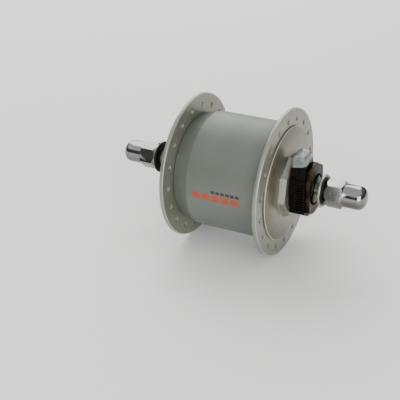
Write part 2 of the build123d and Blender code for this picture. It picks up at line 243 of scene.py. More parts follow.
class Look:
    """A node material, built up from layers of noise on object coordinates."""

    def __init__(self, name, color, metallic=0.0, roughness=0.4, **inputs):
        self.material = bpy.data.materials.new(name)
        self.material.use_nodes = True
        self.tree = self.material.node_tree
        self.shader = self.tree.nodes["Principled BSDF"]
        self.set(self.shader, "Base Color", (*color, 1.0))
        self.set(self.shader, "Metallic", metallic)
        self.set(self.shader, "Roughness", roughness)
        for key, value in inputs.items():
            self.set(self.shader, key.replace("_", " "), value)
        self.place = self.add("ShaderNodeTexCoord").outputs["Object"]
        self.bump = None

    def add(self, kind, **settings):
        """New node, with its settings."""
        node = self.tree.nodes.new(kind)
        for key, value in settings.items():
            setattr(node, key, value)
        return node

    def set(self, node, socket, value):
        """Gives an input a number, a colour or another node's output."""
        if isinstance(value, bpy.types.NodeSocket):
            self.tree.links.new(value, node.inputs[socket])
        else:
            node.inputs[socket].default_value = value

    def math(self, how, a, b):
        """Result of an operation on two values."""
        node = self.add("ShaderNodeMath", operation=how)
        self.set(node, 0, a)
        self.set(node, 1, b)
        return node.outputs[0]

    def stretched(self, x, y, z):
        """Object coordinates in millimetres, scaled along each row axis."""
        node = self.add("ShaderNodeVectorMath", operation="MULTIPLY")
        self.set(node, 0, self.place)
        self.set(node, 1, (1000 * x, 1000 * y, 1000 * z))
        return node.outputs[0]

    def lathe_marks(self, pitch):
        """Coordinates that change with the radius and along the axle, and hardly round it."""
        along = self.add("ShaderNodeSeparateXYZ")
        self.set(along, 0, self.stretched(0.02, 1, 0.02))
        both = self.add("ShaderNodeCombineXYZ")
        self.set(both, 0, self.math("MULTIPLY", self.radius(), 1 / pitch))
        self.set(both, 1, self.math("MULTIPLY", along.outputs[1], 1 / pitch))
        self.set(both, 2, along.outputs[0])
        return both.outputs[0]

    def noise(self, where, scale=1.0, detail=3.0, low=0.35, high=0.65):
        """Noise spread over 0 to 1 between its low and high values."""
        node = self.add("ShaderNodeTexNoise")
        self.set(node, "Vector", where)
        self.set(node, "Scale", scale)
        self.set(node, "Detail", detail)
        return self.spread(node.outputs[0], low, high)

    def spread(self, value, low, high):
        """A value spread over 0 to 1, from low to high."""
        node = self.add("ShaderNodeMapRange")
        self.set(node, "Value", value)
        self.set(node, "From Min", low)
        self.set(node, "From Max", high)
        return node.outputs[0]

    def radius(self):
        """Distance from the axle in millimetres."""
        node = self.add("ShaderNodeVectorMath", operation="LENGTH")
        self.set(node, 0, self.stretched(1, 0, 1))
        return node.outputs["Value"]

    def tint(self, factor, color, strength=1.0):
        """Mixes a colour over what is there, by a factor."""
        mix = self.add("ShaderNodeMix", data_type="RGBA")
        self.set(mix, 0, self.math("MULTIPLY", factor, strength))
        under = self.shader.inputs["Base Color"]
        if under.links:
            self.tree.links.new(under.links[0].from_socket, mix.inputs[6])
        else:
            mix.inputs[6].default_value = under.default_value
        mix.inputs[7].default_value = (*color, 1.0)
        self.set(self.shader, "Base Color", mix.outputs[2])
        return self

    def roughen(self, factor, low, high):
        """Spreads the roughness from low to high by a factor."""
        spread = self.add("ShaderNodeMapRange")
        self.set(spread, "Value", factor)
        self.set(spread, "To Min", low)
        self.set(spread, "To Max", high)
        self.set(self.shader, "Roughness", spread.outputs[0])
        return self

    def emboss(self, height, depth, strength=1.0):
        """Adds a relief of this depth, in millimetres."""
        node = self.add("ShaderNodeBump")
        self.set(node, "Height", height)
        self.set(node, "Distance", depth * MM)
        self.set(node, "Strength", strength)
        if self.bump:
            self.set(node, "Normal", self.bump)
        self.bump = node.outputs[0]
        self.set(self.shader, "Normal", self.bump)
        return self


MIDDLE_FROM = 31.0         # an end cap's colour changes from this radius in to the next
MIDDLE_TO = 20.5
STAIN = (0.85, 0.74, 0.60)  # what a stain leaves of the metal's colour
DOME_FOOT = -67.0          # along row Y in millimetres: the right nut's hexagon ends here


def satin_paint():
    """Silver paint with fine flakes and faint patches."""
    look = Look("satin_paint", (0.116, 0.131, 0.113), metallic=0.35, roughness=0.48)
    patches = look.noise(look.stretched(0.05, 0.05, 0.05), detail=4)
    flakes = look.noise(look.stretched(6, 6, 6), detail=1)
    look.tint(patches, (0.098, 0.109, 0.093), 0.5)
    look.tint(flakes, (0.19, 0.205, 0.18), 0.25)
    look.roughen(patches, 0.40, 0.52)
    look.emboss(look.noise(look.stretched(1.4, 1.4, 1.4), detail=2), 0.008)
    look.emboss(flakes, 0.002)
    return look.material


def turned_aluminium(name, color, roughness, pitch, depth, rim, middle=None):
    """Metal with fine lathe marks, a little stained, with a painted highlight band just outside the
    rim.

    The colour changes to middle, if it's given, between MIDDLE_FROM and MIDDLE_TO.
    """
    look = Look(name, color, metallic=0.62, roughness=roughness)
    marks = look.noise(look.lathe_marks(pitch), detail=5)
    stains = look.noise(look.stretched(0.09, 0.09, 0.09), detail=5, low=0.45, high=0.7)
    look.tint(marks, tuple(0.86 * c for c in color), 0.6)
    # painted highlight: a light band on the rounded rim, where the edge would catch the light
    band_start = look.spread(look.radius(), rim, rim + 0.15)
    band_end = look.spread(look.radius(), rim + 0.5, rim + 0.35)
    rim_highlight = look.math("MULTIPLY", band_start, band_end)
    if middle:
        look.tint(look.spread(look.radius(), MIDDLE_FROM, MIDDLE_TO), middle, 0.9)
    look.tint(stains, tuple(c * s for c, s in zip(color, STAIN)), 0.35)
    look.tint(rim_highlight, (0.72, 0.74, 0.69), 0.75)
    look.roughen(marks, roughness - 0.05, roughness + 0.08)
    look.emboss(marks, depth)
    return look.material


def chrome():
    """Polished chrome, darkened underneath by painted shade, and dull on the right nut's spanner-worn
    hexagon.
    """
    look = Look("chrome", (0.27, 0.28, 0.285), metallic=1.0, roughness=0.06)
    smears = look.noise(look.stretched(0.25, 0.25, 0.25), detail=6, low=0.4, high=0.75)
    hairs = look.noise(look.stretched(0.3, 6, 3), detail=3, low=0.55, high=0.75)
    pits = look.noise(look.stretched(2.5, 2.5, 2.5), detail=2, low=0.68, high=0.75)
    along = look.add("ShaderNodeSeparateXYZ")
    look.set(along, 0, look.stretched(1, 1, 1))
    on_right = look.math("LESS_THAN", along.outputs[1], 0.0)
    before_dome = look.math("GREATER_THAN", along.outputs[1], DOME_FOOT)
    worn = look.math("MULTIPLY", on_right, before_dome)
    look.tint(worn, (0.33, 0.34, 0.34), 0.8)
    look.tint(smears, (0.20, 0.19, 0.165), 0.5)
    look.tint(pits, (0.16, 0.12, 0.09), 0.7)
    # painted shade and reflection: a dark brown tint grows from 1.5 mm above the axle to 2.5 mm below
    # it, darkening the lower faces of every chrome piece, such as the dark band on the dome
    look.tint(look.spread(along.outputs[2], 1.5, -2.5), (0.085, 0.075, 0.055), 0.62)
    worn_share = look.math("MULTIPLY", worn, 0.7)
    smeared_share = look.math("MULTIPLY", smears, 0.3)
    look.roughen(look.math("ADD", worn_share, smeared_share), 0.04, 0.34)
    look.emboss(hairs, 0.004)
    look.emboss(pits, -0.02)
    return look.material


def plated(name, color, rough_low, rough_high, bloom):
    """Plated steel with a mottled bloom."""
    look = Look(name, color, metallic=0.95, roughness=rough_low)
    mottle = look.noise(look.stretched(0.8, 0.8, 0.8), detail=5)
    fine = look.noise(look.lathe_marks(0.25), detail=3)
    look.tint(mottle, bloom, 0.55)
    look.roughen(mottle, rough_low, rough_high)
    look.emboss(fine, 0.005)
    look.emboss(mottle, 0.006)
    return look.material


def moulded_plastic(name, color, roughness, grime=None, shine=0.5):
    """Moulded plastic with a fine grain, and patches of grime if they're given a colour."""
    look = Look(name, color, roughness=roughness, Specular_IOR_Level=shine)
    grain = look.noise(look.stretched(5, 5, 5), detail=3)
    patches = look.noise(look.stretched(0.13, 0.16, 0.13), detail=5, low=0.45, high=0.62)
    if grime:
        look.tint(patches, grime, 0.85)
    look.roughen(patches, roughness - 0.06, roughness + 0.14)
    look.emboss(grain, 0.012)
    return look.material


def clear_vinyl():
    """Soft see-through plastic, hazy and a little wavy."""
    color = (0.42, 0.465, 0.445)
    look = Look("clear_vinyl", color, roughness=0.16, IOR=1.4, Transmission_Weight=0.62)
    haze = look.noise(look.stretched(0.3, 0.3, 0.3), detail=3)
    look.tint(haze, (0.27, 0.315, 0.295), 0.55)
    look.roughen(haze, 0.10, 0.28)
    look.emboss(look.noise(look.stretched(0.28, 0.28, 0.28), detail=1), 0.12)
    return look.material


def rubber():
    """Matt black rubber of the seals."""
    look = Look("rubber", (0.022, 0.022, 0.022), roughness=0.62)
    grain = look.noise(look.stretched(4, 4, 4), detail=4)
    look.tint(grain, (0.05, 0.045, 0.04), 0.5)
    look.roughen(grain, 0.52, 0.75)
    look.emboss(grain, 0.02)
    return look.material


def pressed_iron():
    """Soft iron with mill scale and a few rust spots."""
    look = Look("pressed_iron", (0.27, 0.26, 0.25), metallic=0.9, roughness=0.42)
    scale = look.noise(look.stretched(0.5, 0.5, 0.5), detail=6)
    spots = look.noise(look.stretched(0.9, 0.9, 0.9), detail=4, low=0.6, high=0.7)
    look.tint(scale, (0.17, 0.17, 0.18), 0.7)
    look.tint(spots, (0.20, 0.10, 0.05), 0.5)
    look.roughen(scale, 0.34, 0.56)
    look.emboss(scale, 0.02)
    return look.material


def ferrite():
    """Dull, grainy magnet material."""
    look = Look("ferrite", (0.075, 0.075, 0.08), roughness=0.6)
    grain = look.noise(look.stretched(3, 3, 3), detail=6)
    look.tint(grain, (0.14, 0.14, 0.15), 0.6)
    look.roughen(grain, 0.5, 0.72)
    look.emboss(grain, 0.03)
    return look.material


def wound_copper():
    """Layers of enamelled wire, one turn beside the next."""
    look = Look("wound_copper", (0.50, 0.17, 0.055), metallic=0.9, roughness=0.26)
    turns = look.add("ShaderNodeTexWave", bands_direction="Y", wave_profile="SIN")
    look.set(turns, "Vector", look.stretched(0, 1, 0))
    look.set(turns, "Scale", 0.45)
    wander = look.noise(look.stretched(0.4, 1.5, 0.4), detail=3)
    look.tint(wander, (0.62, 0.25, 0.09), 0.6)
    look.roughen(wander, 0.2, 0.36)
    look.emboss(turns.outputs[1], 0.18)
    return look.material


def print_ink(name, color):
    """Thin print that the paint shows through in places."""
    look = Look(name, color, roughness=0.35)
    thin = look.noise(look.stretched(1.8, 1.8, 1.8), detail=5, low=0.55, high=0.8)
    look.tint(thin, (0.20, 0.20, 0.18), 0.3)
    look.roughen(thin, 0.3, 0.5)
    look.emboss(thin, 0.004)
    return look.material


SHELL_PAINT = satin_paint()
FLANGE_METAL = turned_aluminium(
    "flange_metal", (0.265, 0.275, 0.225), roughness=0.36, pitch=0.30, depth=0.006, rim=44.35
)
CAP_METAL = turned_aluminium(
    "cap_metal", (0.165, 0.147, 0.103), roughness=0.31, pitch=0.16, depth=0.005, rim=34.35,
    middle=(0.225, 0.23, 0.19),
)
CHROME = chrome()
ZINC = plated("zinc", (0.33, 0.345, 0.285), 0.24, 0.42, (0.23, 0.235, 0.19))
GROUND_STEEL = plated("ground_steel", (0.46, 0.46, 0.46), 0.16, 0.28, (0.36, 0.35, 0.34))
BLACK_STEEL = plated("black_steel", (0.016, 0.016, 0.017), 0.30, 0.46, (0.035, 0.03, 0.027))
TIN = plated("tin", (0.62, 0.61, 0.56), 0.2, 0.36, (0.46, 0.44, 0.38))
BLACK_PLASTIC = moulded_plastic(
    "black_plastic", (0.002, 0.0018, 0.0017), 0.26, grime=(0.007, 0.0035, 0.002), shine=0.09
)
BROWN_PLASTIC = moulded_plastic(
    "brown_plastic", (0.006, 0.0038, 0.0025), 0.36, grime=(0.050, 0.026, 0.012), shine=0.10
)
NYLON = moulded_plastic("nylon", (0.62, 0.60, 0.50), 0.45)
WIRE_JACKET = moulded_plastic("wire_jacket", (0.66, 0.66, 0.62), 0.4)
CLEAR_VINYL = clear_vinyl()
RUBBER = rubber()
IRON = pressed_iron()
FERRITE = ferrite()
COPPER = wound_copper()
DARK_INK = print_ink("dark_ink", (0.012, 0.014, 0.013))
ORANGE_INK = print_ink("orange_ink", (0.31, 0.036, 0.008))


# ---- shell: barrel, flanges, end caps ----------------------------------------------------------

barrel = turned(
    [
        (31.5, -27.9, 0.2),
        (32.8, -27.9, 0.35),
        (BARREL_R, -18.0, 1.2),
        (BARREL_R, FLANGE_IN, 0.25),
        (31.5, FLANGE_IN, 0.2),
    ]
)
settle(mesh_piece("barrel", barrel), SHELL_PAINT, "hub", "shell", "hub_shell", sharp=50)


def spoke_flange(side):
    """Flange with countersunk spoke holes, drawn for the connector side."""
    plate = [
        (29.5, FLANGE_OUT, 0.3),
        (FLANGE_R, FLANGE_OUT, 0.7),
        (FLANGE_R, FLANGE_IN, 0.7),
        (31.5, FLANGE_IN, 0.1),
        (31.5, FLANGE_IN - 2.5, 0.3),
        (29.5, FLANGE_IN - 2.5, 0.3),
    ]
    sink = 0.45                # depth of the countersink
    drill = turned_solid(
        [
            (HOLE_R + sink + 0.5, FLANGE_IN - 0.5),
            (HOLE_R, FLANGE_IN + sink),
            (HOLE_R, FLANGE_OUT - sink),
            (HOLE_R + sink + 0.5, FLANGE_OUT + 0.5),
        ],
        24,
    )
    drills = [shifted(drill, x=HOLE_CIRCLE[side], angle=HOLE_PHASE[side] + 20 * k) for k in range(18)]
    return turned(plate), joined(drills)


for side in ("right", "left"):
    plate, drills = spoke_flange(side)
    if side == "left":
        plate, drills = mirrored(plate), mirrored(drills)
    flange = mesh_piece(f"flange_{side}", plate)
    carve(flange, drills)
    settle(flange, FLANGE_METAL, "hub", "flange", f"{side}_flange")


def crown(radius):
    """Height of an end cap's face, a parabola through its rim, its middle and its boss."""
    (a, fa), (b, fb), (c, fc) = (34.6, 31.9), (27.0, 33.0), (18.6, 33.5)
    return (
        fa * (radius - b) * (radius - c) / ((a - b) * (a - c))
        + fb * (radius - a) * (radius - c) / ((b - a) * (b - c))
        + fc * (radius - a) * (radius - b) / ((c - a) * (c - b))
    )


# Underside of an end cap, from the cup's seat out to the rim
CAP_UNDERSIDE = [
    (CUP_R, 28.4, 0.2),
    (16.5, 28.4, 0.2),
    (16.5, 30.6, 0.4),
    (27.5, 29.4, 0.6),
    (27.5, 26.8, 0.2),
    (29.5, 26.8, 0.2),
    (29.5, FLANGE_OUT, 0.0),
    (RIM_R, FLANGE_OUT, 0.1),
    (RIM_R, 31.5, 0.4),
    (34.5, 31.9, 0.4),
]
CROWN_RADII = [33.8, 32.6, 31.2, 29.6, 28.0, 26.4, 24.8, 23.4]  # where crown() is sampled

BOSS_FLAT = 18.35          # from the axle to a side of the octagonal boss, at its foot
BOSS_TOP_FLAT = 17.26      # and at its top
BOSS_CORNER = 0.7
BOSS_PHASE = 15.0
BOSS_FOOT = 33.5


def octagon(flat, s, inflate=0.0):
    """Loop round the octagonal boss with rounded corners; inflate pushes it outwards."""
    loop = []
    reach = (flat - BOSS_CORNER) / cos(pi / 8)
    for k in range(8):
        turn = radians(BOSS_PHASE + 45 * k)
        side_start = (reach * cos(turn - pi / 4), reach * sin(turn - pi / 4))
        side_end = (reach * cos(turn), reach * sin(turn))
        out = turn - pi / 8
        radius = BOSS_CORNER + inflate
        for i in range(1, 15):
            t = 0.5 - 0.5 * cos(pi * i / 15)
            x = side_start[0] * (1 - t) + side_end[0] * t + radius * cos(out)
            y = side_start[1] * (1 - t) + side_end[1] * t + radius * sin(out)
            loop.append((x, y, s))
        for i in range(9):
            angle = out + pi / 4 * i / 8
            x = side_end[0] + radius * cos(angle)
            y = side_end[1] + radius * sin(angle)
            loop.append((x, y, s))
    return loop


def ringed(loop, radius, s, share=1.0):
    """The loop's points moved a share of the way out or in to a circle."""
    moved = []
    for x, y, _ in loop:
        now = hypot(x, y)
        factor = (now * (1 - share) + radius * share) / now
        moved.append((x * factor, y * factor, s))
    return moved


def right_end_cap():
    """Crowned cap that rises into an octagonal boss."""
    foot_round = 0.7
    foot = octagon(BOSS_FLAT, 0, inflate=foot_round)
    rows = [ringed(foot, r, s) for r, s in filleted(CAP_UNDERSIDE)]
    rows += [ringed(foot, r, crown(r)) for r in CROWN_RADII]
    for share in (0.6, 0.3, 0.0):
        loop = ringed(foot, CROWN_RADII[-1], 0, share)
        rows.append([(x, y, crown(hypot(x, y))) for x, y, _ in loop])
    for i in range(1, 6):
        angle = pi / 2 * i / 5
        s = BOSS_FOOT + foot_round * (1 - cos(angle))
        rows.append(octagon(BOSS_FLAT, s, foot_round * (1 - sin(angle))))
    for i in range(1, 4):
        rows.append(octagon(BOSS_FLAT - i / 3, BOSS_FOOT + foot_round + 2.7 * i / 3))
    top_round = 0.3
    for i in range(1, 4):
        angle = pi / 2 * i / 3
        s = BOSS_TOP - top_round + top_round * sin(angle)
        rows.append(octagon(BOSS_TOP_FLAT, s, -top_round * (1 - cos(angle))))
    top = rows[-1]
    rows.append(ringed(top, 14.35, BOSS_TOP))
    rows.append(ringed(top, 14.1, BOSS_TOP - 0.1))
    rows.append(ringed(top, 13.3, 35.75))
    rows.append(ringed(top, CUP_R, 35.5))
    return skin(rows)


def left_end_cap():
    """Crowned cap with a plain round boss."""
    face = [(r, crown(r), 0.0) for r in CROWN_RADII + [22.0, 20.4]]
    boss = [(18.1, 33.45, 0.7), (17.6, 36.7, 0.3), (17.0, BOSS_TOP, 0.3), (CUP_R, BOSS_TOP, 0.4)]
    return mirrored(turned(CAP_UNDERSIDE + face + boss))


for side, cap in (("right", right_end_cap()), ("left", left_end_cap())):
    piece = mesh_piece(f"cap_{side}", cap)
    settle(piece, CAP_METAL, "hub", "end_cap", f"{side}_end_cap", sharp=40)


# ---- printed mark: plain bars ------------------------------------------------------------------

def barrel_patch(s_low, s_high, angle_low, angle_high, slant=0.0, lift=0.03):
    """Thin raised patch on the barrel; slant shifts its upper edge along the axle."""
    top = []
    steps = 12
    for i in range(steps + 1):
        t = i / steps
        angle = radians(angle_low + (angle_high - angle_low) * t)
        top.append((angle, s_low + slant * t, s_high + slant * t))
    points = []
    faces = []
    for radius in (BARREL_R - 0.05, BARREL_R + lift):
        for angle, a, b in top:
            for s in (a, b):
                points.append((radius * cos(angle), radius * sin(angle), s))
    row = 2 * (steps + 1)
    for i in range(steps):
        a = 2 * i
        faces.append((a, a + 1, a + 3, a + 2))
        faces.append((row + a, row + a + 1, row + a + 3, row + a + 2))
        faces.append((a, a + 2, row + a + 2, row + a))
        faces.append((a + 1, a + 3, row + a + 3, row + a + 1))
    faces.append((0, 1, row + 1, row))
    faces.append((row - 2, row - 1, 2 * row - 1, 2 * row - 2))
    return points, faces


orange_bars = [barrel_patch(-14.0 + 6.1 * k, -9.2 + 6.1 * k, 180.3, 187.0, 0.9) for k in range(5)]
dark_bars = [barrel_patch(-2.0 + 3.1 * k, 0.4 + 3.1 * k, 176.0, 178.9, 0.4) for k in range(6)]
for name, bars, ink in (
    ("mark_orange", orange_bars, ORANGE_INK),
    ("mark_dark", dark_bars, DARK_INK),
):
    settle(mesh_piece(name, joined(bars)), ink, "hub", "shell")


# ---- axle and the pieces on it -----------------------------------------------------------------

THREAD_PITCH = 1.0
THREAD_DEPTH = 0.54
THREAD_START = 45.3


def axle_shape():
    """Axle with a thicker middle, and rolled threads on both ends."""
    around = 72
    per_turn = 10
    root = AXLE_R - THREAD_DEPTH

    def thread_row(s, fade):
        loop = []
        for k in range(around):
            angle = 2 * pi * k / around
            phase = (s / THREAD_PITCH - k / around) % 1.0
            crest = min(1.0, max(0.0, 1.25 * (1 - abs(2 * phase - 1)) - 0.125))
            radius = AXLE_R - THREAD_DEPTH * (1 - crest) * fade
            loop.append((radius * cos(angle), radius * sin(angle), s))
        return loop

    def run(low, high, fade_low, fade_high):
        steps = round((high - low) / THREAD_PITCH * per_turn)
        return [
            thread_row(
                low + (high - low) * i / steps,
                fade_low + (fade_high - fade_low) * i / steps,
            )
            for i in range(steps + 1)
        ]

    tip = 70.0
    rows = [circle(root - 0.5, -tip, around), circle(root - 0.1, -tip + 0.15, around)]
    rows += run(-tip + 0.6, -THREAD_START - 1, 1.0, 1.0)
    rows += run(-THREAD_START - 0.9, -THREAD_START, 1.0, 0.0)
    middle = [
        (AXLE_R, -20.2),
        (5.8, -20.0),
        (6.0, -19.8),
        (6.0, -18.6),
        (7.8, -18.6),
        (8.0, -18.4),
        (8.0, -16.6),
        (6.0, -16.6),
        (6.0, 19.8),
        (5.8, 20.0),
        (AXLE_R, 20.2),
    ]
    rows += [circle(r, s, around) for r, s in middle]
    rows += run(THREAD_START, THREAD_START + 0.9, 0.0, 1.0)
    rows += run(THREAD_START + 1, tip - 0.6, 1.0, 1.0)
    rows += [circle(root - 0.1, tip - 0.15, around), circle(root - 0.5, tip, around)]
    return skin(rows, "capped")


axle = mesh_piece("axle_bar", axle_shape(), at_axle)
carve(axle, box((-1.1, 2.5, 11.0), (1.1, 10.0, 45.0)), place=at_axle)
settle(axle, ZINC, "axle_unit", "zinc", "axle", sharp=50)

SLEEVE_R = 7.0
SLEEVE_START = 38.0
SLEEVE_END = {"right": 45.5, "left": 46.0}
for side, end in SLEEVE_END.items():
    sleeve = turned(
        [
            (AXLE_R, SLEEVE_START, 0.2),
            (SLEEVE_R, SLEEVE_START, 0.4),
            (SLEEVE_R, end, 0.4),
            (AXLE_R, end, 0.2),
        ],
        96,
    )
    if side == "left":
        sleeve = mirrored(sleeve)
    spacer = mesh_piece(f"sleeve_{side}", sleeve, at_axle)
    if side == "right":
        carve(spacer, box((-1.1, 3.5, 42.4), (1.1, 8.0, 44.6)), place=at_axle)
    settle(spacer, ZINC, "axle_unit", "zinc", f"{side}_spacer")

dust_cap = mirrored(
    turned(
        [
            (7.0, 40.4, 0.2),
            (13.5, 40.4, 0.5),
            (13.5, 38.0, 0.2),
            (14.5, 38.0, 0.4),
            (14.5, 41.0, 0.5),
            (13.3, 42.2, 0.5),
            (11.6, 42.2, 0.3),
            (11.2, 41.8, 0.3),
            (9.6, 41.8, 0.3),
            (9.2, 42.2, 0.3),
            (7.0, 42.2, 0.2),
        ]
    )
)
shield = mesh_piece("shield_left", dust_cap, at_axle)
settle(shield, BLACK_PLASTIC, "axle_unit", "black_plastic", "left_dust_cap")


def hex_body(phase, low, high, low_r, high_r, full_from, full_to):
    """Hexagon, and the turned solid that takes its corners off to low_r and high_r at its ends."""
    keep = turned_solid(
        [
            (low_r, low - 0.01),
            (HEX_CLEAR_R, full_from),
            (HEX_CLEAR_R, full_to),
            (high_r, high + 0.01),
        ],
        120,
    )
    return prism(hexagon(phase), low, high), keep


for side, look, slot in (("right", BLACK_STEEL, "black_steel"), ("left", ZINC, "zinc")):
    body, keep = hex_body(0, 46.0, 50.0, HEX_CLEAR_R, 7.6, 46.5, 49.3)
    bore = turned_solid([(AXLE_R, 45.0), (AXLE_R, 49.6), (AXLE_R + 0.9, 50.5)], 96)
    if side == "left":
        body, keep, bore = mirrored(body), mirrored(keep), mirrored(bore)
    nut = mesh_piece(f"jam_nut_{side}", body, at_axle)
    carve(nut, keep, "INTERSECT", at_axle)
    carve(nut, bore, place=at_axle)
    soften(nut, 0.15)
    settle(nut, look, "axle_unit", slot, f"{side}_locknut")


# ---- dome nuts and washers ---------------------------------------------------------------------

NUT_PHASE = {"right": 11.0, "left": 15.0}
DOME_R = 7.0
DOME_START = 75.5
NUT_TIP = 80.5


def dome_profile():
    """Outer line of the nut's cylinder, from inside the hexagon to its rounded tip."""
    line = [(4.8, 63.0), (DOME_R, 63.0), (DOME_R, DOME_START)]
    power = 2.3                # of the superellipse at the tip; 2 would make it a plain ellipse
    for i in range(1, 17):
        angle = pi / 2 * i / 17
        out = cos(angle) ** (2 / power)
        along = sin(angle) ** (2 / power)
        line.append((DOME_R * out, DOME_START + (NUT_TIP - DOME_START) * along))
    line.append((0.4, NUT_TIP))
    return line


for side in ("right", "left"):
    body, keep = hex_body(NUT_PHASE[side], 56.0, 67.2, 7.0, 7.2, 58.9, 65.9)
    dome = turned_solid(dome_profile(), 120)
    bore = turned_solid([(BORE_R + 0.9, 55.5), (BORE_R, 56.8), (BORE_R, 74.0), (0.4, 76.2)], 96)
    if side == "left":
        body, keep, dome, bore = (mirrored(shape) for shape in (body, keep, dome, bore))
    nut = mesh_piece(f"dome_nut_{side}", body)
    carve(nut, keep, "INTERSECT")
    carve(nut, dome, "UNION")
    carve(nut, bore)
    soften(nut, 0.22, angle=24)
    settle(nut, CHROME, f"{side}_nut", "chrome", f"{side}_cap_nut")


def serrated_washer():
    """Washer with radial teeth on the face that bites the fork."""
    teeth = 60

    def tooth(angle):
        return 0.16 * abs((angle * teeth / (2 * pi)) % 1.0 * 2 - 1)

    segments = 4 * teeth
    rows = [
        circle(BORE_R, 53.45, segments),
        circle(5.6, 53.45, segments),
        circle(6.0, 53.3, segments, tooth),
        circle(9.3, 53.3, segments, tooth),
        circle(9.6, 53.45, segments),
        circle(9.9, 53.6, segments),
        circle(10.0, 53.85, segments),
        circle(10.0, 54.6, segments),
        circle(9.9, 54.85, segments),
        circle(9.65, 55.0, segments),
        circle(4.8, 55.0, segments),
        circle(BORE_R, 54.8, segments),
    ]
    return skin(rows)


plain_washer = turned([(BORE_R, 55.0, 0.15), (8.8, 55.0, 0.3), (8.8, 56.0, 0.3), (BORE_R, 56.0, 0.15)])
for side, toothed_look, toothed_slot, plain_look, plain_slot in (
    ("right", ZINC, "zinc", BLACK_STEEL, "black_steel"),
    ("left", BLACK_STEEL, "black_steel", ZINC, "zinc"),
):
    toothed, plain = serrated_washer(), plain_washer
    if side == "left":
        toothed, plain = mirrored(toothed), mirrored(plain)
    piece = mesh_piece(f"washer_toothed_{side}", toothed)
    settle(piece, toothed_look, f"{side}_nut", toothed_slot, f"{side}_axle_washer")
    piece = mesh_piece(f"washer_plain_{side}", plain)
    settle(piece, plain_look, f"{side}_nut", plain_slot, f"{side}_nut_washer")


# ---- connector ---------------------------------------------------------------------------------

BODY_START = 38.0          # along the axle: the body's two ends, then the cover's outer face
BODY_END = 47.2
COVER_END = 49.6
TOWER_REAR = -11.9
TOWER_FORE = 1.0
TOWER_LOW = 38.7           # along the axle, where the tower starts
TOWER_TOP = 19.2           # its height there
TOWER_SLOPE = 0.212
GROOVES = 10               # across each flat side of the body
GROOVE_PITCH = 1.8
GROOVE_HALF = 0.45


def tower_top(s):
    """Height of the tower's sloping top."""
    return TOWER_TOP + TOWER_SLOPE * (s - TOWER_LOW)


def arc(radius, start, end, steps=20):
    """Points on a circle about the axle, between two angles in radians."""
    angles = [start + (end - start) * i / steps for i in range(steps + 1)]
    return [(radius * cos(a), radius * sin(a)) for a in angles]


def body_outline():
    """Collar with two flat sides, wider below, with a step at the top of the rear flat."""
    half, upper, lower, step = 12.5, 15.6, 16.8, 11.4
    upper_flat = atan2(sqrt(upper ** 2 - half ** 2), half)
    lower_flat = atan2(sqrt(lower ** 2 - half ** 2), half)
    top = arc(upper, upper_flat, pi - asin(step / upper), 40)
    bottom = arc(lower, lower_flat - pi, -lower_flat, 40)
    return top + [(-half, step)] + bottom


def cover_outline():
    """Disc with two flat sides and a shoulder that slopes down towards the front."""
    half, radius = 11.3, 15.2
    flat = atan2(sqrt(radius ** 2 - half ** 2), half)
    right = arc(radius, flat, atan2(12.2, 9.0), 4)
    tab = [(TOWER_FORE, 17.2), (-7.8, 17.2)]
    left = arc(radius, pi - atan2(sqrt(radius ** 2 - 7.8 ** 2), 7.8), pi - flat, 6)
    return right + tab + left + arc(radius, flat - pi, -flat, 40)


def tower():
    """Block under the tower's sloping top."""
    points = []
    for x in (TOWER_REAR, TOWER_FORE):
        for s in (TOWER_LOW, BODY_END):
            points += [(x, 1.0, s), (x, tower_top(s), s)]
    faces = [(0, 1, 3, 2), (4, 6, 7, 5), (0, 4, 5, 1), (2, 3, 7, 6), (1, 5, 7, 3), (0, 2, 6, 4)]
    return points, faces


body = mesh_piece("plug_body", prism(body_outline(), BODY_START, BODY_END), at_axle)
carve(body, tower(), "UNION", at_axle)
slope = [(-1.0, 1.0), (-1.0, 17.6), (TOWER_FORE, 17.6), (9.0, 12.6), (9.0, 1.0)]
carve(body, prism(slope, TOWER_LOW, BODY_END), "UNION", at_axle)
seat = turned_solid([(7.0, 37.0), (7.0, 45.5), (10.5, 45.5), (10.5, 48.0)], 96)
carve(body, seat, place=at_axle)
grooves = []
for side in (-1, 1):
    for k in range(GROOVES):
        y = (k - (GROOVES - 1) / 2) * GROOVE_PITCH
        x_low, x_high = sorted((side * 11.9, side * 13.1))
        grooves.append(box((x_low, y - GROOVE_HALF, 42.0), (x_high, y + GROOVE_HALF, 46.0)))
carve(body, joined(grooves), place=at_axle)
soften(body, 0.25)
settle(body, BLACK_PLASTIC, "axle_unit", "black_plastic", "connector_body")

cover = mesh_piece("plug_cover", prism(cover_outline(), BODY_END, COVER_END), at_axle)
carve(cover, turned_solid([(9.3, 47.0), (9.3, 49.2), (10.2, 50.1)], 96), place=at_axle)
soften(cover, 0.9, angle=35, segments=4)
settle(cover, BROWN_PLASTIC, "axle_unit", "black_plastic", "connector_cover")


def rounded_rectangle(left, right, low, high, corner, per_side=14):
    """Points (x, s) round a rectangle with rounded corners; always the same number."""
    middles = (
        (right - corner, high - corner),
        (left + corner, high - corner),
        (left + corner, low + corner),
        (right - corner, low + corner),
    )
    corners = []
    for quarter, (x, s) in enumerate(middles):
        angles = [pi / 2 * (quarter + i / 8) for i in range(9)]
        corners.append([(x + corner * cos(a), s + corner * sin(a)) for a in angles])
    loop = []
    for k, bend in enumerate(corners):
        start, end = bend[-1], corners[(k + 1) % 4][0]
        loop += bend
        for i in range(1, per_side):
            t = i / per_side
            loop.append((start[0] + (end[0] - start[0]) * t, start[1] + (end[1] - start[1]) * t))
    return loop


CAP_TOP = 26.2
CAP_END = 47.4             # along the axle, its outer side
CAP_ROUND = 2.2
CAP_WALL = 0.9
FLAT_INSET = 3.9           # the middle of its top and of its ceiling is flat inside this line
BUMP = (-10.4, 25.2, 44.9)
BUMP_R = 2.9
BUMP_LIFT = 0.35           # backwards, and the same again upwards


